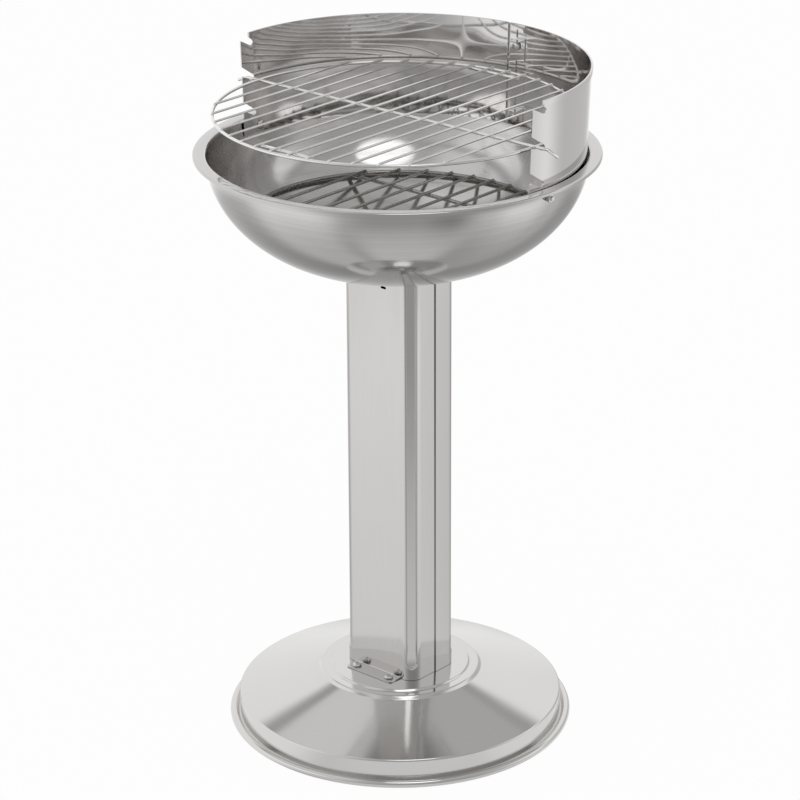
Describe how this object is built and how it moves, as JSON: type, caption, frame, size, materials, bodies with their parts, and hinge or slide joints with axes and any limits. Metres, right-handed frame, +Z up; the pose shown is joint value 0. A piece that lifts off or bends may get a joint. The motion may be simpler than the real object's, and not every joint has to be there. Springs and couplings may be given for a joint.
{
  "type": "pedestal barbecue",
  "caption": "Charcoal barbecue in sheet steel: dished foot, fluted column, round fire bowl, half-round windscreen with slots, lift-off cooking grate and charcoal grate.",
  "frame": {"origin": "centre of the foot on the ground", "axes": "+Z up, -Y towards the open front of the windscreen, +X to the right seen from the front"},
  "size_m": [0.411, 0.4, 0.6972],
  "materials": {
    "satin_foot": "satin, polished in turning",
    "satin_column": "satin",
    "satin_bowl": "satin outside, polished inside",
    "polished_sheet": "mirror polished stainless sheet",
    "plated_wire": "bright plated",
    "dark_wire": "plated, dulled",
    "fastener": "bright"
  },
  "bodies": {
    "pedestal": {"base_dish": "satin_foot", "column_front_shell": "satin_column", "column_rear_shell": "satin_column", "bowl": "satin_bowl", "windscreen_left": "polished_sheet", "windscreen_right": "polished_sheet", "base_screw_1": "fastener", "base_screw_2": "fastener", "base_screw_3": "fastener", "base_screw_4": "fastener", "bowl_screw_1": "fastener", "bowl_screw_2": "fastener", "bowl_screw_3": "fastener", "bowl_screw_4": "fastener", "windscreen_screw_left": "fastener", "windscreen_screw_right": "fastener", "windscreen_screw_back": "fastener", "seam_screw": "fastener", "base_nut_1": "fastener", "base_nut_2": "fastener", "base_nut_3": "fastener", "base_nut_4": "fastener", "bowl_nut_1": "fastener", "bowl_nut_2": "fastener", "bowl_nut_3": "fastener", "bowl_nut_4": "fastener", "windscreen_nut_left": "fastener", "windscreen_nut_right": "fastener", "windscreen_nut_back": "fastener", "seam_nut": "fastener"},
    "cooking_grate": {"cooking_grate": "plated_wire"},
    "charcoal_grate": {"charcoal_grate": "dark_wire"}
  },
  "joints": [
    {"name": "cooking_grate_lift", "type": "slide", "parent": "pedestal", "child": "cooking_grate", "axis": [0, -0.8957, 0.4446], "range_m": [0, 0.3]},
    {"name": "charcoal_grate_lift", "type": "slide", "parent": "pedestal", "child": "charcoal_grate", "axis": [0, 0, 1], "range_m": [0, 0.095]}
  ]
}
